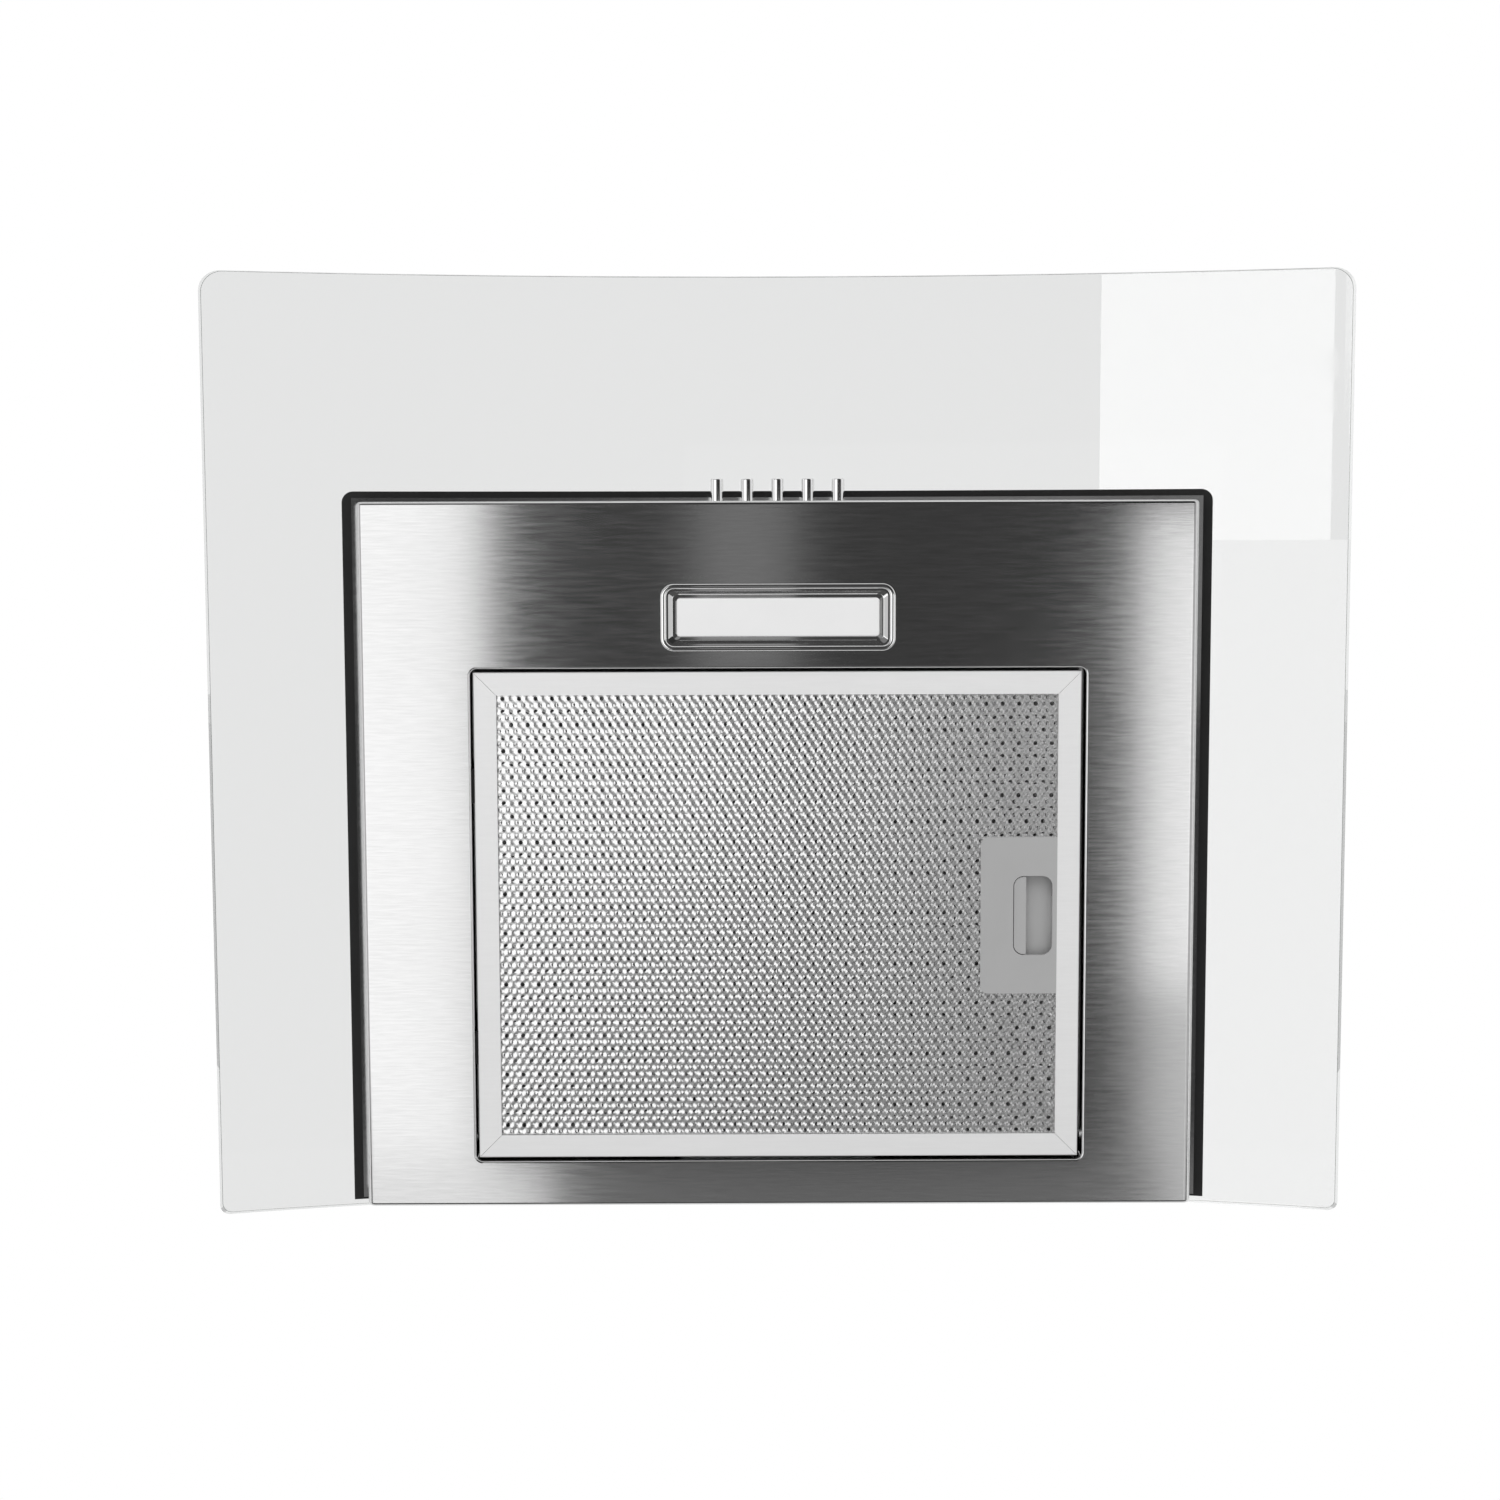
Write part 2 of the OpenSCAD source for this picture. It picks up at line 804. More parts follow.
// Chrome bezel round the lamp: outer bead, sloping funnel and inner ledge.
module lamp_bezel() {
    ledge_w = lens_w + 2 * (bead_w + 1.2);
    ledge_d = lens_d + 2 * (bead_w + 1.2);
    from_panel() translate([0, -lamp_y, 0]) color("#d8dadb")
        difference() {
            union() {
                translate([0, 0, -bead_h])
                    linear_extrude(bead_h)
                        rounded(lamp_w, lamp_d, lamp_r);
                linear_extrude(funnel_top + lens_t)
                    rounded(lamp_cut_w - 0.4, lamp_cut_d - 0.4, 2.8);
            }
            hull() {
                translate([0, 0, -bead_h - eps])
                    linear_extrude(eps)
                        rounded(lamp_w - 2 * bead_w, lamp_d - 2 * bead_w, lamp_r - bead_w, $fn = 32);
                translate([0, 0, lens_low])
                    linear_extrude(eps)
                        rounded(ledge_w, ledge_d, 2.4, $fn = 32);
            }
            translate([0, 0, -1])
                linear_extrude(8)
                    rounded(lens_w + 0.2, lens_d + 0.2, 1.6);
        }
}

// Frosted lamp lens.
module lamp_lens() {
    from_panel() translate([0, -lamp_y, lens_low - 0.6]) color("#f2f2f0") {
        linear_extrude(lens_t + 0.6)
            rounded(lens_w, lens_d, 1.5);
        translate([0, 0, funnel_top + lens_t + 0.6 - lens_low])
            linear_extrude(0.8)
                rounded(lens_w + 2, lens_d + 2, 1.5);
        translate([0, 0, lens_t + 0.6 - eps])
            linear_extrude(funnel_top - lens_low + 2 * eps)
                rounded(lens_w, lens_d, 1.5);
    }
}

// Plastic housing behind the lamp, standing on the bottom panel.
module lamp_housing() {
    w = lamp_cut_w + 2 * housing_lap;
    d = lamp_cut_d + 2 * housing_lap;
    from_panel() translate([0, -lamp_y, 0]) color("#e6e6e2") {
        difference() {
            translate([0, 0, sheet])
                linear_extrude(lamp_h - sheet)
                    rounded(w, d, housing_r);
            translate([0, 0, sheet - 1])
                linear_extrude(lamp_h - sheet + 1 - lamp_wall)
                    rounded(w - 2 * lamp_wall, d - 2 * lamp_wall, housing_r - lamp_wall);
            rod_y(post_x + 6, 0, lamp_h - lamp_wall - 2 * lead_hole_r, lead_hole_r, d);
        }
        for (side = [-1, 1])
            translate([side * post_x, 0, board_top])
                cylinder(r = 2.5, h = post_h + eps);
    }
}

// Board with the lamp's light-emitting chips, hung from the housing's posts.
module led_board() {
    from_panel() translate([0, -lamp_y, board_top - board_t]) color("#f4f4ee") {
        linear_extrude(board_t)
            rounded(lens_w - 4, lens_d - 6, 1);
        for (i = [0 : chip_n - 1])
            translate([(i - (chip_n - 1) / 2) * chip_pitch - chip_w / 2, -chip_w / 2, -chip_t])
                cube([chip_w, chip_w, chip_t + eps]);
    }
}

// Plastic strip behind the front wall in which the buttons run.
module button_guide() {
    from_panel() color("#202020")
        difference() {
            translate([-guide_w / 2, -guide_front, button_z - guide_half_h])
                cube([guide_w, guide_t, 2 * guide_half_h]);
            for (i = [1 : button_n])
                rod_y(button_x(i), -guide_front - 1, button_z, button_r + running_gap, guide_t + 2);
            for (side = [-1, 1])
                rod_y(side * stud_x, -guide_front - 1, button_z, stud_r + 0.2, guide_t + 2);
        }
}

// Nuts on the studs that hold the button guide.
module guide_nuts() {
    from_panel() color("#a5a5a5")
        for (side = [-1, 1])
            translate([side * stud_x, -guide_front + guide_t, button_z])
                rotate([-90, 0, 0])
                    difference() {
                        cylinder(r = 4, h = nut_t, $fn = 6);
                        translate([0, 0, -1]) cylinder(r = stud_r, h = nut_t + 2);
                    }
}

// Switch block that the buttons press.
module switch_block() {
    from_panel() color("#2b2b2b")
        difference() {
            translate([-switch_w / 2, -switch_front, button_z - switch_half_h])
                cube([switch_w, switch_front - switch_rear, 2 * switch_half_h]);
            for (i = [1 : button_n]) {
                rod_y(button_x(i), -switch_front - 1, button_z, button_r + fit_gap + 0.2,
                    switch_front - cap_room_rear + 1);
                translate([button_x(i) - plunger_w / 2 - 0.4, -switch_front, button_z - plunger_w / 2 - 0.4])
                    cube([plunger_w + 0.8, switch_front - plunger_room_rear, plunger_w + 0.8]);
            }
        }
}

// Chrome push button with a softly rounded tip.
module button(i) {
    tip = 0.7;
    length = button_tip - button_rear;
    from_panel() color("#e0e2e3")
        translate([button_x(i), -button_tip, button_z])
            rotate([-90, 0, 0])
                rotate_extrude()
                    intersection() {
                        union() {
                            translate([0, tip]) square([button_r, length - tip]);
                            square([button_r - tip, tip + eps]);
                            translate([button_r - tip, tip]) circle(tip);
                        }
                        square([button_r, length]);
                    }
}

// Plastic plunger behind one button.
module plunger(i) {
    from_panel() color("#3a3a3a")
        translate([button_x(i) - plunger_w / 2, -button_rear, button_z - plunger_w / 2])
            cube([plunger_w, plunger_l, plunger_w]);
}

// Snail outline about the fan axis: three arcs that grow by the quarter turn, and the outlet neck.
module snail(wall) {
    g = scroll_growth;
    r1 = scroll_r - wall;
    r2 = scroll_r + g - wall;
    r3 = scroll_r + 2 * g - wall;
    intersection() {
        translate([-g / 2, -g / 2]) circle(r1, $fn = 180);
        translate([-2 * r1, -g / 2]) square([4 * r1, 2 * r1]);
    }
    intersection() {
        translate([g / 2, -g / 2]) circle(r2, $fn = 180);
        translate([g / 2 - 2 * r2, -g / 2 - 2 * r2]) square(2 * r2);
    }
    intersection() {
        translate([g / 2, g / 2]) circle(r3, $fn = 180);
        translate([g / 2, g / 2 - 2 * r3]) square(2 * r3);
    }
    translate([neck_in + wall, g / 2])
        square([neck_d - 2 * wall, neck_top - g / 2]);
}

// Fan scroll with round inlets at both ends and a rim under the motor box's top.
module fan_scroll() {
    w = scroll_half_w;
    from_panel() translate([0, -fan_y, fan_z]) color("#c9cdcf") {
        difference() {
            union() {
                across(-w, 2 * w) snail(0);
                translate([-w - neck_rim, neck_in - neck_rim / 2, neck_top - scroll_wall])
                    cube([2 * (w + neck_rim), neck_d + neck_rim / 2, scroll_wall]);
            }
            across(-w + scroll_wall, 2 * (w - scroll_wall)) {
                snail(scroll_wall);
                translate([neck_in + scroll_wall, neck_top - 4])
                    square([neck_d - 2 * scroll_wall, 8]);
            }
            rod_x(-w - 1, 0, 0, inlet_r, 2 * w + 2);
        }
    }
}

// Bell-mouth ring on the left inlet.
module inlet_ring() {
    from_panel() translate([-scroll_half_w, -fan_y, fan_z]) color("#c9cdcf")
        rotate([0, -90, 0])
            rotate_extrude($fn = 96) {
                translate([inlet_r, 0]) square([inlet_rim, ring_t]);
                translate([inlet_r + ring_bead / 2, ring_bead / 2]) circle(ring_bead / 2, $fn = 24);
            }
}

// Moulded guard of rings and spokes over the left inlet.
module inlet_guard() {
    from_panel() translate([-scroll_half_w - ring_bead - guard_t, -fan_y, fan_z]) color("#b0b4b6")
        across(0, guard_t) {
            for (k = [0 : guard_ring_n - 1])
                difference() {
                    circle(guard_in_r + k * guard_step + guard_rib / 2, $fn = 96);
                    circle(guard_in_r + k * guard_step - guard_rib / 2, $fn = 96);
                }
            for (a = [0 : 60 : 300])
                rotate(a)
                    translate([guard_in_r, -guard_rib / 2])
                        square([inlet_r - guard_in_r, guard_rib]);
        }
}

// Outline of one forward-curved blade, from its root to its tip.
function blade_edge(t, side) =
    let (r = wheel_r - blade_d + 0.5 + t * (blade_d - 1), a = 11 * t * t + side * 28 / r)
    [r * cos(a), r * sin(a)];

// Blades of one half of the wheel with their end ring; side is -1 on the left and 1 on the right.
module blade_ring(side) {
    steps = 5;
    half = wheel_w / 2;
    inner = disc_t / 2 + skin_gap;
    across(side > 0 ? inner : -half, half - inner)
        for (k = [0 : blade_n - 1])
            rotate(k * 360 / blade_n)
                polygon(concat(
                    [for (s = [0 : steps]) blade_edge(s / steps, -1)],
                    [for (s = [steps : -1 : 0]) blade_edge(s / steps, 1)]));
    across(side > 0 ? half - end_ring_t : -half, end_ring_t)
        difference() {
            circle(wheel_r, $fn = 120);
            circle(wheel_r - blade_d / 2, $fn = 120);
        }
}

// Fan wheel: a middle disc with a hub, and a blade ring clinched on each side of it.
module fan_wheel() {
    from_panel() translate([0, -fan_y, fan_z]) color("#d5d8da") {
        difference() {
            union() {
                rod_x(-disc_t / 2, 0, 0, wheel_r, disc_t, $fn = 120);
                rod_x(-hub_l, 0, 0, hub_r, hub_l + disc_t);
            }
            rod_x(-hub_l - 1, 0, 0, shaft_r, hub_l + disc_t + 2);
        }
        for (side = [-1, 1])
            blade_ring(side);
    }
}

// Shaft of the fan.
module fan_shaft() {
    from_panel() translate([0, -fan_y, fan_z]) color("#a8abad")
        rod_x(shaft_left, 0, 0, shaft_r, shaft_right - shaft_left);
}

// Nut that holds the wheel on its shaft.
module fan_nut() {
    from_panel() translate([-hub_l - 5, -fan_y, fan_z]) color("#a5a5a5")
        rotate([0, 90, 0])
            difference() {
                cylinder(r = 7.5, h = 5, $fn = 6);
                translate([0, 0, -1]) cylinder(r = shaft_r, h = 7);
            }
}

// Motor inside the right half of the wheel, with stepped end bells.
module fan_motor() {
    from_panel() translate([motor_left, -fan_y, fan_z]) color("#6d7174")
        rotate([0, 90, 0])
            difference() {
                rotate_extrude($fn = 96)
                    polygon([
                        [shaft_r + 0.05, 0], [shaft_r + 6, 0], [shaft_r + 8, 3], [motor_r - 6, 3],
                        [motor_r - 2, 7], [motor_r, 7], [motor_r, motor_l - 10], [motor_r - 2, motor_l - 10],
                        [motor_r - 6, motor_l - 4], [shaft_r + 8, motor_l - 4], [shaft_r + 6, motor_l],
                        [0, motor_l], [0, shaft_right], [shaft_r + 0.05, shaft_right]
                    ]);
                for (a = [0 : 45 : 315])
                    rotate(a)
                        translate([motor_r - 12, 0, motor_l - 8])
                            cylinder(r = 3, h = 10, $fn = 24);
            }
}

// Three-armed bracket that carries the motor on the right inlet.
module motor_bracket() {
    from_panel() translate([0, -fan_y, fan_z]) color("#9da1a4") {
        across(scroll_half_w, bracket_t) {
            difference() {
                circle(inlet_r + inlet_rim, $fn = 96);
                circle(inlet_r - 2, $fn = 96);
            }
            for (a = [90, 210, 330])
                rotate(a)
                    translate([motor_r + 1, -6])
                        square([inlet_r - motor_r, 12]);
        }
        across(scroll_half_w - 3, bracket_t + 6)
            difference() {
                circle(motor_r + 3, $fn = 96);
                circle(motor_r + 0.1, $fn = 96);
            }
    }
}

// Screws of the motor bracket on the right and of the inlet ring on the left.
module bracket_screws() {
    from_panel() translate([0, -fan_y, fan_z]) color("#a5a5a5")
        for (a = [30, 150, 270])
            rotate([a, 0, 0]) {
                rod_x(scroll_half_w + bracket_t, 0, inlet_screw_r, 2.6, 2);
                rod_x(-scroll_half_w - ring_t - 2, 0, inlet_screw_r, 2.6, 2);
            }
}

// Run capacitor of the motor.
module run_capacitor() {
    from_panel() color("#e4e4e0") {
        rod_y(capacitor_x, -box_mid_y - capacitor_l / 2, capacitor_z, capacitor_r, capacitor_l);
        rod_y(capacitor_x, -box_mid_y - capacitor_l / 2 - 4, capacitor_z, capacitor_r - 3, 4 + eps);
    }
}

// Clip that hangs the capacitor from the motor box's top.
module capacitor_clip() {
    from_panel() color("#9da1a4")
        translate([capacitor_x, -box_mid_y + clip_w / 2, capacitor_z])
            rotate([90, 0, 0])
                linear_extrude(clip_w) {
                    difference() {
                        circle(capacitor_r + clip_t);
                        circle(capacitor_r);
                        translate([-clip_mouth / 2, -2 * capacitor_r])
                            square([clip_mouth, capacitor_r + 4]);
                    }
                    translate([-clip_stem / 2, capacitor_r + clip_t / 2])
                        square([clip_stem, box_top - box_sheet - capacitor_z - capacitor_r - clip_t / 2]);
                }
}

// Terminal box on the front of the motor box.
module terminal_box() {
    from_panel() color("#dcdcd8")
        difference() {
            translate([-terminal_w / 2, -box_front - terminal_d, terminal_z])
                cube([terminal_w, terminal_d, terminal_h]);
            translate([0, 0, terminal_z + terminal_wall])
                translate([-terminal_w / 2 + terminal_wall, -box_front - terminal_d - 1, 0])
                    cube([terminal_w - 2 * terminal_wall, terminal_d + 1 - terminal_wall,
                        terminal_h - 2 * terminal_wall]);
            translate([gland_x, -box_front - terminal_d / 2, terminal_z + terminal_h - terminal_wall - 1])
                cylinder(r = gland_neck_r, h = terminal_wall + 2);
        }
}

// Cover of the terminal box.
module terminal_cover() {
    from_panel() color("#e8e8e4")
        translate([0, -box_front - terminal_d, terminal_z + terminal_h / 2])
            rotate([90, 0, 0])
                linear_extrude(2)
                    difference() {
                        rounded(terminal_w, terminal_h, 3);
                        for (side = [-1, 1])
                            translate([side * (terminal_w / 2 - 6), 0]) circle(1.8);
                    }
}

// Cable gland on top of the terminal box.
module cable_gland() {
    body_top = gland_nut_h + gland_body_h;
    bore_l = gland_neck_l + body_top + gland_tip_h;
    from_panel() translate([gland_x, -box_front - terminal_d / 2, terminal_z + terminal_h]) color("#1c1c1c")
        difference() {
            union() {
                cylinder(r = 9, h = gland_nut_h, $fn = 6);
                translate([0, 0, gland_nut_h]) cylinder(r = 7.6, h = gland_body_h);
                translate([0, 0, body_top]) cylinder(r1 = 7.6, r2 = 5.8, h = gland_tip_h);
                translate([0, 0, -gland_neck_l]) cylinder(r = gland_neck_r, h = gland_neck_l + eps);
            }
            translate([0, 0, -gland_neck_l - 1]) cylinder(r = gland_bore_r, h = bore_l + 2);
        }
}

// Plastic outlet with a square base, a round collar and the seat of the flaps.
module duct_collar() {
    half = collar_base / 2;
    from_panel() translate([0, -duct_y, 0]) color("#26282a") {
        difference() {
            translate([0, 0, box_top])
                linear_extrude(collar_base_h)
                    rounded(collar_base, collar_base, 10);
            translate([0, 0, box_top - 1])
                linear_extrude(collar_base_h + 1 - collar_base_t)
                    rounded(collar_base - 2 * collar_base_t, collar_base - 2 * collar_base_t,
                        10 - collar_base_t);
            translate([0, 0, box_top]) cylinder(r = collar_in_r, h = 2 * collar_base_h, $fn = 120);
            for (sx = [-1, 1], sy = [-1, 1])
                translate([sx * (half - collar_screw_in), sy * (half - collar_screw_in), box_top])
                    cylinder(r = collar_screw_r + 0.1, h = 2 * collar_base_h);
        }
        difference() {
            translate([0, 0, collar_low - eps]) cylinder(r = duct_r, h = duct_h + eps, $fn = 120);
            translate([0, 0, collar_low - 1]) cylinder(r = collar_in_r, h = duct_h + 2, $fn = 120);
            rod_x(-duct_r - 1, 0, flap_z, rod_r, 2 * duct_r + 2);
        }
        translate([0, 0, flap_z - flap_t / 2 - fit_gap - 1.5])
            difference() {
                cylinder(r = collar_in_r + eps, h = 1.5, $fn = 120);
                translate([0, 0, -1]) cylinder(r = collar_in_r - flap_seat_w, h = 4, $fn = 120);
                translate([-duct_r, -knuckle_r - 0.6, -1]) cube([2 * duct_r, 2 * knuckle_r + 1.2, 4]);
            }
    }
}

// Steel rod across the collar that both flaps turn on.
module flap_rod() {
    from_panel() color("#a8abad")
        rod_x(-duct_r, -duct_y, flap_z, rod_r, 2 * duct_r);
}

// Half-round non-return flap with two knuckles on the rod; side is -1 in front and 1 behind.
module flap(side) {
    shift = side > 0 ? knuckle_l + knuckle_gap : 0;
    from_panel() translate([0, -duct_y, flap_z]) color("#1e2022")
        difference() {
            union() {
                intersection() {
                    translate([0, 0, -flap_t / 2]) cylinder(r = flap_r, h = flap_t, $fn = 120);
                    translate([-flap_r, side > 0 ? knuckle_r + 0.4 : -flap_r, -flap_t])
                        cube([2 * flap_r, flap_r - knuckle_r - 0.4, 2 * flap_t]);
                }
                for (x = knuckle_x) {
                    rod_x(x + shift, 0, 0, knuckle_r, knuckle_l);
                    translate([x + shift, side > 0 ? 0 : -knuckle_r - 1, -flap_t / 2])
                        cube([knuckle_l, knuckle_r + 1, flap_t]);
                }
            }
            rod_x(-flap_r, 0, 0, rod_r + running_gap, 2 * flap_r);
        }
}

// Screws through the collar's base.
module collar_screws() {
    half = collar_base / 2;
    from_panel() translate([0, -duct_y, collar_low]) color("#a5a5a5")
        for (sx = [-1, 1], sy = [-1, 1])
            translate([sx * (half - collar_screw_in), sy * (half - collar_screw_in), 0]) {
                cylinder(r = small_head_r, h = small_head_t);
                translate([0, 0, -collar_base_t]) cylinder(r = collar_screw_r, h = collar_base_t + eps);
            }
}

// Plan of a chimney cover: front, two sides and a short return at the wall on each side.
module chimney_plan(w, front, rear) {
    difference() {
        translate([-w / 2, -front]) square([w, front - rear]);
        translate([-w / 2 + sheet, -front + sheet]) square([w - 2 * sheet, front - rear - 2 * sheet]);
        translate([-w / 2 + return_w, -rear - 2 * sheet]) square([w - 2 * return_w, 4 * sheet]);
    }
}

// Lower chimney cover, cut to the arch of the glass at its foot.
module lower_chimney() {
    foot_r = glass_top_r + 0.2;
    from_panel() color("silver")
        difference() {
            linear_extrude(lower_top) chimney_plan(chimney_w, chimney_d, lower_rear);
            under_arch(foot_r);
            for (side = [-1, 1])
                rod_x(side * chimney_w / 2 - 3, -tab_y - tab_w / 2, tab_screw_z, cover_screw_r + 0.3, 6);
        }
}

// Screws that hold the lower cover on the motor box's tabs.
module chimney_screws() {
    from_panel() color("#c8cacb")
        for (side = [-1, 1])
            translate([side * chimney_w / 2, -tab_y - tab_w / 2, tab_screw_z])
                rotate([0, side * 90, 0]) {
                    cylinder(r = 3.6, h = 1.8);
                    translate([0, 0, -4]) cylinder(r = cover_screw_r, h = 4 + eps);
                }
}

// Upper chimney cover with rows of vent slots near its top on both sides.
module upper_chimney() {
    first_y = (upper_front + upper_rear) / 2 - (vent_n - 1) * vent_pitch / 2;
    from_panel() color("silver")
        difference() {
            translate([0, 0, upper_low])
                linear_extrude(upper_l)
                    chimney_plan(upper_w, upper_front, upper_rear);
            for (side = [-1, 1], row = [0 : vent_rows - 1], k = [0 : vent_n - 1])
                translate([side * upper_w / 2 - 2, -first_y - k * vent_pitch,
                    upper_top - vent_drop - row * vent_row_pitch])
                    rotate([90, 0, 90])
                        linear_extrude(4)
                            rounded(vent_l, vent_w, vent_w / 2 - eps, $fn = 24);
            for (side = [-1, 1])
                rod_x(side * upper_w / 2 - 3, -top_screw_y, top_screw_z, cover_screw_r + 0.3, 6);
        }
}

// Wall bracket inside the top of the upper cover.
module chimney_bracket() {
    tab_out = upper_w / 2 - sheet;
    from_panel() color("#8f9496")
        difference() {
            translate([0, 0, upper_top - bracket_h])
                linear_extrude(bracket_h) {
                    translate([-bracket_half_w, -bracket_sheet])
                        square([2 * bracket_half_w, bracket_sheet]);
                    for (side = [-1, 1])
                        scale([side, 1]) {
                            translate([bracket_half_w - bracket_sheet, -bracket_leg_y - bracket_sheet])
                                square([bracket_sheet, bracket_leg_y + bracket_sheet]);
                            translate([bracket_half_w - bracket_sheet, -bracket_leg_y - bracket_sheet])
                                square([tab_out - bracket_half_w + bracket_sheet, bracket_sheet]);
                            translate([tab_out - bracket_sheet, -bracket_tab_y])
                                square([bracket_sheet, bracket_tab_y - bracket_leg_y]);
                        }
                }
            for (side = [-1, 1]) {
                rod_y(side * bracket_hole_x, -bracket_sheet - 1, top_screw_z, bracket_hole_r,
                    bracket_sheet + 2);
                rod_x(side * tab_out - 3, -top_screw_y, top_screw_z, cover_screw_r + 0.1, 6);
            }
        }
}

// Screws that hold the upper cover on its bracket.
module top_screws() {
    from_panel() color("#c8cacb")
        for (side = [-1, 1])
            translate([side * upper_w / 2, -top_screw_y, top_screw_z])
                rotate([0, side * 90, 0]) {
                    cylinder(r = 3.6, h = 1.8);
                    translate([0, 0, -4]) cylinder(r = cover_screw_r, h = 4 + eps);
                }
}

// Places a sub-part at the middle of the cassette.
module at_filter() {
    translate([-filter_shift, -filter_y, 0]) children();
}

// Channel of one cassette rail, l long, with mitred ends, running along X at the front.
module rail(l, depth) {
    intersection() {
        translate([-l / 2, -depth / 2, filter_recess])
            difference() {
                cube([l, rail_w, filter_t]);
                translate([-1, rail_t, rail_t]) cube([l + 2, rail_w, filter_t - 2 * rail_t]);
            }
        translate([0, 0, -1])
            linear_extrude(filter_top + 4)
                polygon([
                    [-l / 2, -depth / 2], [l / 2, -depth / 2],
                    [l / 2 - rail_w, -depth / 2 + rail_w], [-l / 2 + rail_w, -depth / 2 + rail_w]
                ]);
    }
}

// Aluminium frame of four mitred rails, with the slot for the latch bolt.
module filter_frame() {
    from_panel() at_filter() color("#c4c8ca")
        difference() {
            union() {
                for (turn = [0, 180]) rotate(turn) rail(filter_w, filter_d);
                for (turn = [90, 270]) rotate(turn) rail(filter_d, filter_w);
            }
            for (sx = [-1, 1], sy = [-1, 1])
                translate([sx * (filter_w / 2 - rail_w / 2), sy * (filter_d / 2 - rail_w / 2), filter_recess])
                    rotate(sx * sy * 45)
                        cube([rail_w * 1.3, mitre_cut, mitre_cut], center = true);
            translate([filter_w / 2 - 2 * rail_t, -bolt_w / 2 - 0.7, bolt_low - 0.6])
                cube([4 * rail_t, bolt_w + 1.4, filter_top - rail_t - bolt_low + 0.2]);
        }
}

// Plan that the layers of the cassette fill, less the place of the latch.
module layer_plan() {
    difference() {
        square([filter_w - 2 * net_edge, filter_d - 2 * net_edge], center = true);
        translate([plate_left - latch_room, -plate_l / 2 - latch_room])
            square([filter_w, plate_l + 2 * latch_room]);
    }
}

// Expanded net: a sheet with a staggered grid of lens-shaped openings cut as diamonds.
module net(z) {
    pitch_x = (filter_w - 2 * rail_w) / net_cols;
    pitch_y = (filter_d - 2 * rail_w) / net_rows;
    half_x = (pitch_x - strand_w / 2) / 2;
    half_y = (pitch_y - strand_w / 4) / 2;
    translate([0, 0, z])
        linear_extrude(net_t)
            difference() {
                layer_plan();
                for (row = [0 : net_rows - 1])
                    for (col = [0 : net_cols - 1 - row % 2]) {
                        x = (col + 0.5 * (row % 2) + 0.5 - net_cols / 2) * pitch_x;
                        y = (row + 0.5 - net_rows / 2) * pitch_y;
                        clear = x + half_x < plate_left - latch_room || abs(y) > plate_l / 2 + half_y + 2;
                        if (clear)
                            translate([x, y])
                                polygon([[half_x, 0], [0, half_y], [-half_x, 0], [0, -half_y]]);
                    }
            }
}

// Net on the visible underside of the cassette.
module filter_net() {
    from_panel() at_filter() color("#b4b7b9") net(net_low);
}

// Net on the upper side of the cassette.
module filter_back_net() {
    from_panel() at_filter() color("#a4a7a9") net(back_net_low);
}

// Pleated foil between the two nets.
module filter_pleats() {
    span = filter_w - 2 * net_edge;
    pitch = span / pleat_n;
    rise = pleat_top - pleat_low - pleat_t;
    ridge = [for (k = [0 : 2 * pleat_n]) [-span / 2 + k * pitch / 2, pleat_low + (k % 2) * rise]];
    from_panel() at_filter() color("#8c9092")
        intersection() {
            translate([0, filter_d / 2 - net_edge, 0])
                rotate([90, 0, 0])
                    linear_extrude(filter_d - 2 * net_edge)
                        polygon(concat(ridge, [for (k = [2 * pleat_n : -1 : 0]) ridge[k] + [0, pleat_t]]));
            linear_extrude(filter_top) layer_plan();
        }
}

// Two tongues on the left rail that rest in the lip's notches.
module filter_tongues() {
    from_panel() at_filter() color("#b4b8ba")
        for (side = [-1, 1])
            translate([-filter_w / 2 - tongue_reach, side * tongue_span / 2 - tongue_w / 2, tongue_low])
                cube([tongue_reach, tongue_w, tongue_t]);
}

// Grey plate of the latch with its finger window and the tray behind it.
module latch_plate() {
    from_panel() at_filter() color("#b2b3b3") {
        translate([0, 0, filter_recess])
            linear_extrude(plate_t)
                difference() {
                    union() {
                        translate([plate_left + plate_r, -plate_l / 2])
                            square([plate_w - plate_r, plate_l]);
                        translate([plate_left, -plate_l / 2 + plate_r])
                            square([plate_r + 1, plate_l - 2 * plate_r]);
                        for (side = [-1, 1])
                            translate([plate_left + plate_r, side * (plate_l / 2 - plate_r)])
                                circle(plate_r);
                    }
                    translate([window_left + window_w / 2, 0])
                        rounded(window_w, window_l, window_r);
                }
        translate([0, 0, filter_recess + plate_t])
            linear_extrude(tray_top - filter_recess - plate_t)
                difference() {
                    translate([tray_left, -tray_half_l])
                        square([tray_right - tray_left, 2 * tray_half_l]);
                    translate([tray_left + tray_wall, -pocket_half_l])
                        square([rail_inner - tray_left, 2 * pocket_half_l]);
                }
        translate([tray_left, -pocket_half_l - 2, tray_top])
            cube([tray_right - tray_left + 1, 2 * pocket_half_l + 4, tray_floor_t]);
    }
}

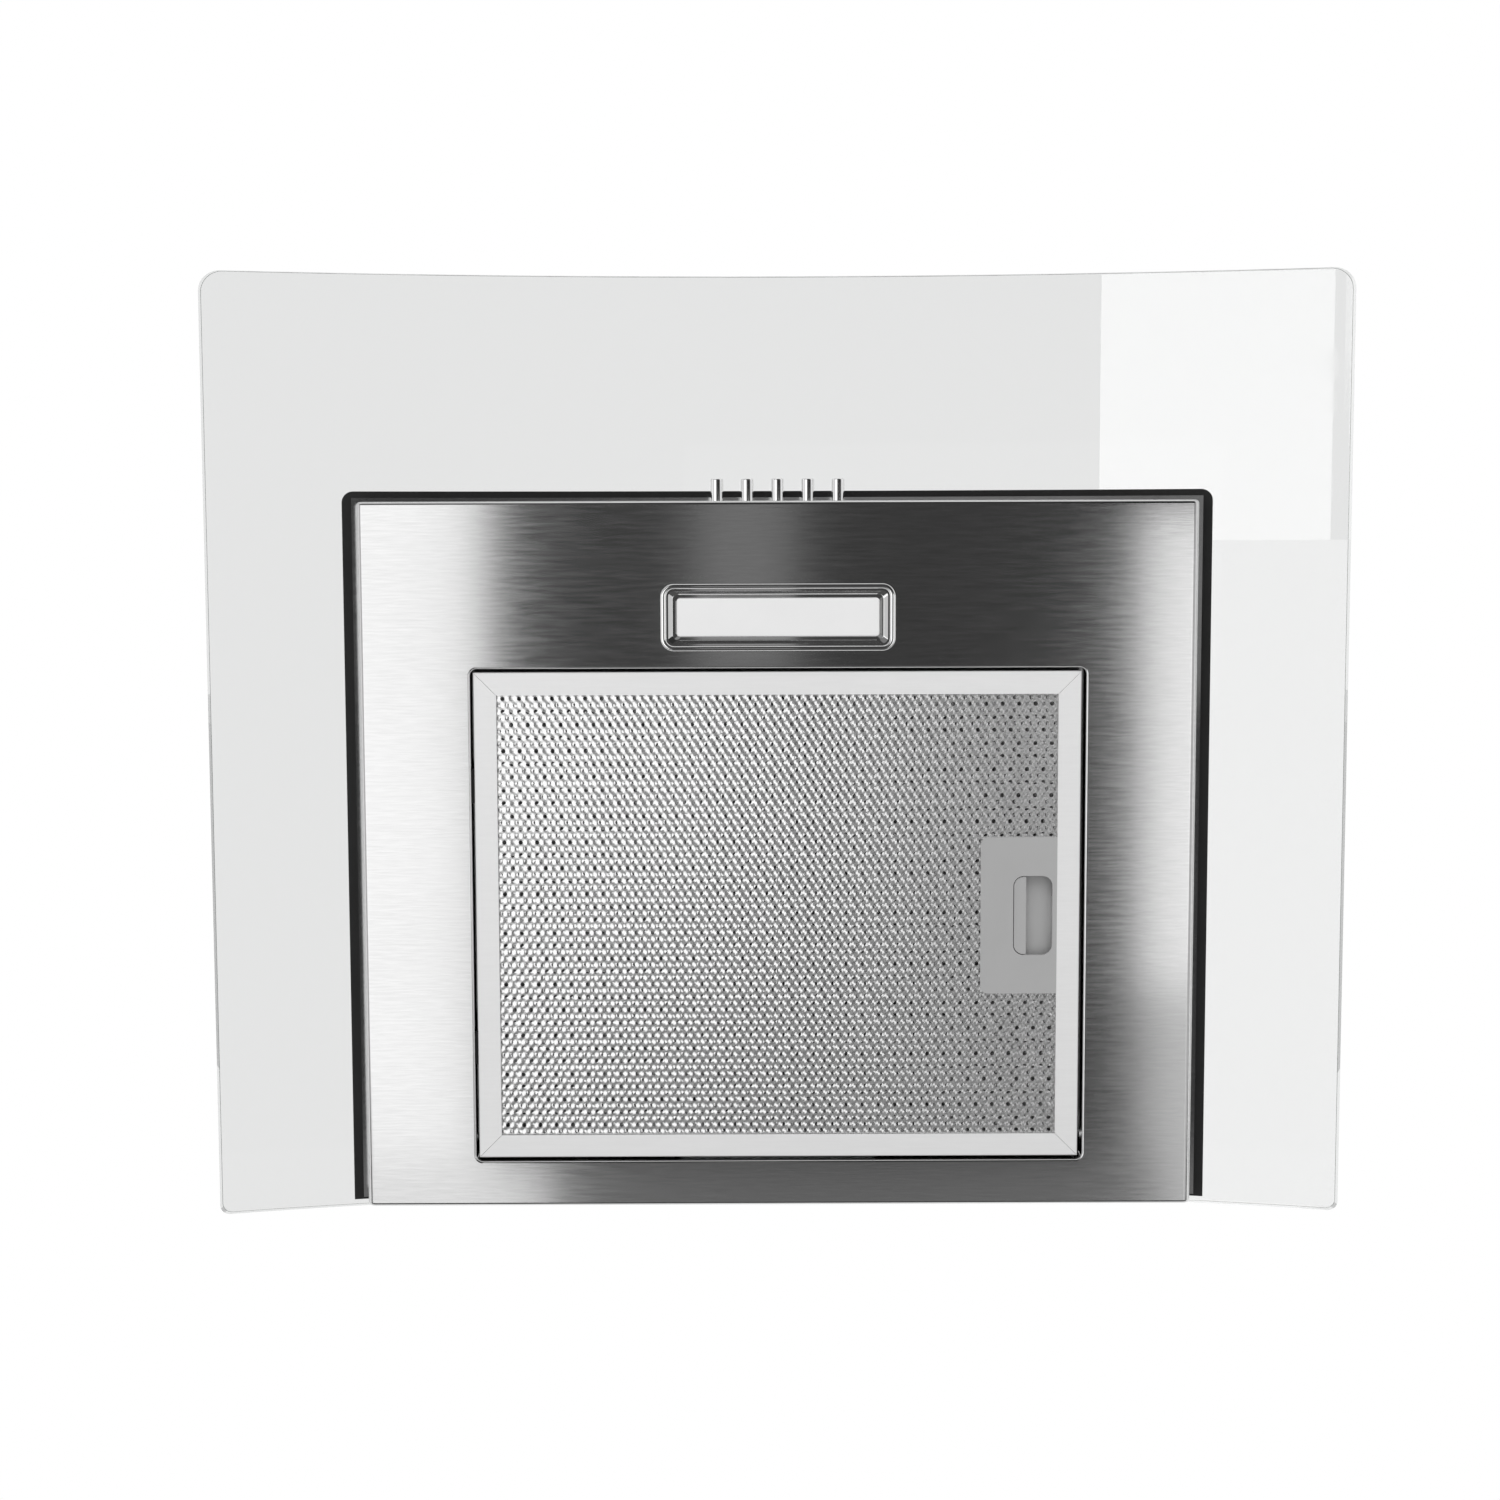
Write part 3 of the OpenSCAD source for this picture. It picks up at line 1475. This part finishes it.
// Sliding bolt of the latch with its finger bar, shown drawn back.
module latch_slider() {
    floor_half = window_l / 2 + 2;
    from_panel() at_filter() color("#a8a9a9") {
        translate([slider_left, -floor_half, slider_floor_low])
            cube([rail_inner - 1.5 - slider_left, 2 * floor_half, slider_floor_t]);
        translate([0, 0, filter_recess + 0.6])
            linear_extrude(slider_floor_low - filter_recess - 0.6 + eps)
                intersection() {
                    translate([window_left + window_w / 2, 0])
                        rounded(window_w - 2 * bar_play, window_l - 2 * bar_play, window_r - bar_play);
                    translate([slider_left, -window_l / 2]) square([bar_w, window_l]);
                }
        translate([rail_inner - 2.5, -bolt_w / 2, bolt_low])
            cube([filter_w / 2 - rail_inner + 2.5, bolt_w, slider_floor_low + slider_floor_t - bolt_low]);
    }
}

// Point t of the way along a coil of radius r and length l about the X axis.
function coil_point(t, r, l, turns) = [t * l, r * cos(360 * turns * t), r * sin(360 * turns * t)];

// Points round the wire at t, in the plane across the coil's run.
function coil_ring(t, r, l, turns, wire, sides) =
    let (
        a = 360 * turns * t,
        out = [0, cos(a), sin(a)],
        run = [l, -2 * PI * turns * r * sin(a), 2 * PI * turns * r * cos(a)],
        across = cross(run / norm(run), out)
    )
    [for (k = [0 : sides - 1])
        coil_point(t, r, l, turns) + wire * (cos(k * 360 / sides) * out + sin(k * 360 / sides) * across)];

// Coil spring as one unbroken tube; it prints the least gap from the tube to itself.
module coil(r, l, turns, wire) {
    sides = 6;
    ring_n = 8;
    steps = turns * ring_n;
    middle = [for (i = [0 : steps]) coil_point(i / steps, r, l, turns)];
    pairs = [for (i = [0 : steps - ring_n / 2], k = [i + ring_n / 2 : steps]) norm(middle[k] - middle[i])];
    echo(least_gap = min(pairs) - 2 * wire);
    points = [for (i = [0 : steps]) each coil_ring(i / steps, r, l, turns, wire, sides)];
    last = steps * sides;
    polyhedron(points, concat(
        [[for (k = [0 : sides - 1]) k]],
        [for (i = [0 : steps - 1], k = [0 : sides - 1])
            let (a = i * sides + k, b = i * sides + (k + 1) % sides)
            each [[a, a + sides, b + sides], [a, b + sides, b]]],
        [[for (k = [sides - 1 : -1 : 0]) last + k]]));
}

// Return spring of the latch, pressed short behind the drawn slider.
module latch_spring() {
    spring_left = tray_left + tray_wall + fit_gap;
    spring_l = slider_left - spring_left - fit_gap;
    from_panel() at_filter() color("#9c9fa1")
        translate([spring_left + spring_wire, 0, slider_floor_low - 1])
            coil(spring_r, spring_l - 2 * spring_wire, spring_turns, spring_wire);
}

body_pan();
glass_deck();
edge_gasket();
airway_gasket();
glass_canopy();
box_gasket();
motor_box();
hanging_plate();
clamp_screws();
clamp_nuts();
hanging_screws();
lamp_bezel();
lamp_lens();
lamp_housing();
led_board();
button_guide();
switch_block();
guide_nuts();
button(1);  // button_1
button(2);  // button_2
button(3);  // button_3
button(4);  // button_4
button(5);  // button_5
plunger(1);  // plunger_1
plunger(2);  // plunger_2
plunger(3);  // plunger_3
plunger(4);  // plunger_4
plunger(5);  // plunger_5
fan_scroll();
inlet_ring();
inlet_guard();
fan_wheel();
fan_shaft();
fan_nut();
fan_motor();
motor_bracket();
bracket_screws();
run_capacitor();
capacitor_clip();
terminal_box();
terminal_cover();
cable_gland();
duct_collar();
flap_rod();
flap(-1);  // front_flap
flap(1);  // rear_flap
collar_screws();
lower_chimney();
chimney_screws();
upper_chimney();
chimney_bracket();
top_screws();
filter_frame();
filter_net();
filter_pleats();
filter_back_net();
filter_tongues();
latch_plate();
latch_slider();
latch_spring();
